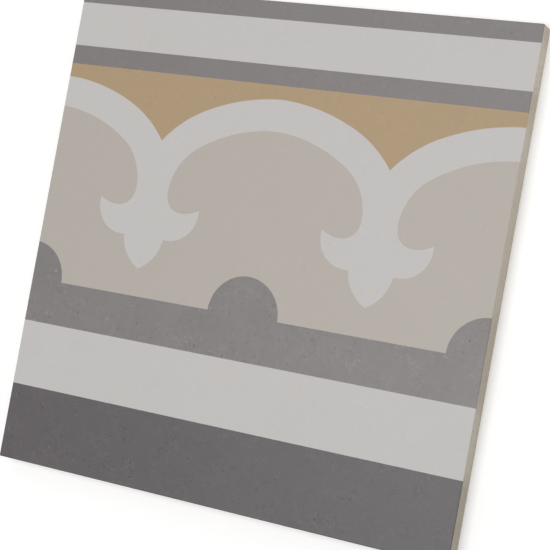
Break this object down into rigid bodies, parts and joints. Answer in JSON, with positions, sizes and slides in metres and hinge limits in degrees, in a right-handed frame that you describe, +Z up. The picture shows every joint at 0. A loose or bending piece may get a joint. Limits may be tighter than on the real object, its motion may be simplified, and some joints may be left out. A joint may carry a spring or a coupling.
{
  "type": "border tile",
  "caption": "Square fired border tile with a matte printed band of scalloped arches, lily drops and plain stripes, finely arrised edges and a keyed back.",
  "frame": {"origin": "centre of the keyed back, on the plane that the tile rests on", "axes": "+Z up through the printed face, +X along the run of the border, +Y towards the top of its pattern"},
  "size_m": [0.1988, 0.1988, 0.0085],
  "materials": {
    "printed_body": "matte"
  },
  "bodies": {
    "root": {"border_tile": "printed_body"}
  },
  "joints": []
}
